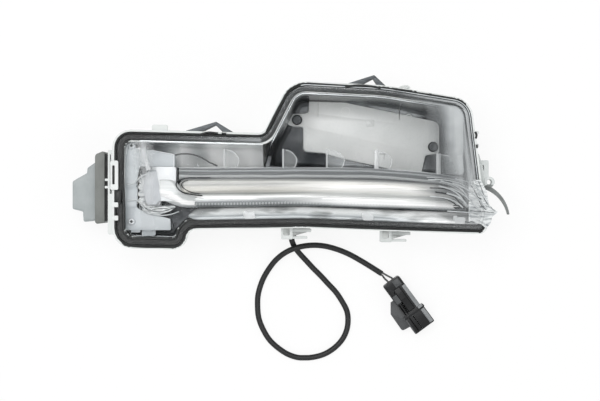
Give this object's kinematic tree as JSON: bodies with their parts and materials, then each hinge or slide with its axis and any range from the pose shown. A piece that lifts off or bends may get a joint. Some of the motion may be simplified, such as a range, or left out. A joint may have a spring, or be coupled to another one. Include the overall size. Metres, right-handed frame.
{
  "type": "daytime running light",
  "caption": "Automotive daytime running light: a sealed housing with a clear lens, a light guide bar, a reflector bowl, snap clips and a cable with a two pole connector.",
  "frame": {"origin": "on the surface under the middle of the lamp, which lies on its rear feet with the lens up; the cable and its connector are left out of that middle", "axes": "+X along the lamp from the driver box towards the pointed corner, +Y towards the edge with the spring clips, +Z out of the lens"},
  "size_m": [0.3331, 0.2206, 0.07],
  "materials": {
    "housing_plastic": "moulded, fine satin grain",
    "seal_rubber": "satin black",
    "clear_polycarbonate": "clear, hard coated",
    "metallised_plastic": "vacuum metallised, dark",
    "dark_steel": "dark zinc",
    "clear_acrylic": "clear, polished",
    "pale_plastic": "moulded, glossy",
    "white_plastic": "moulded white",
    "circuit_board": "solder mask",
    "led_phosphor": "phosphor",
    "bare_aluminium": "pressed",
    "carrier_plastic": "moulded light grey",
    "zinc_steel": "zinc plated",
    "wire_grey": "wire insulation",
    "driver_plastic": "moulded grey",
    "collar_plastic": "moulded mid grey",
    "spring_steel": "bent strip",
    "snap_plastic": "moulded, pale",
    "bracket_plastic": "moulded grey",
    "black_plastic": "moulded black",
    "cable_sheath": "smooth sheath",
    "silicone_orange": "silicone",
    "tinned_brass": "tinned"
  },
  "bodies": {
    "root": {"housing": "housing_plastic", "mount_posts": "housing_plastic", "seal_bead": "seal_rubber", "outer_lens": "clear_polycarbonate", "reflector": "metallised_plastic", "reflector_screws": "dark_steel", "light_guide": "clear_acrylic", "lower_trim": "pale_plastic", "led_holder": "white_plastic", "collimator": "clear_acrylic", "led_board": "circuit_board", "led_chips": "led_phosphor", "heat_sink": "bare_aluminium", "module_carrier": "carrier_plastic", "carrier_screws": "zinc_steel", "lead_wire": "wire_grey", "driver_box": "driver_plastic", "driver_collar": "collar_plastic", "driver_gasket": "seal_rubber", "driver_screws": "zinc_steel", "side_clip": "housing_plastic", "top_clip_left": "spring_steel", "top_clip_right": "spring_steel", "bottom_snap_left": "snap_plastic", "bottom_snap_right": "snap_plastic", "side_bracket": "bracket_plastic", "vent_cap": "black_plastic", "cable_gland": "seal_rubber", "cable": "cable_sheath", "connector_wires": "wire_grey", "connector_body": "black_plastic", "connector_lock": "black_plastic", "connector_seal": "silicone_orange", "connector_terminals": "tinned_brass"}
  },
  "joints": []
}
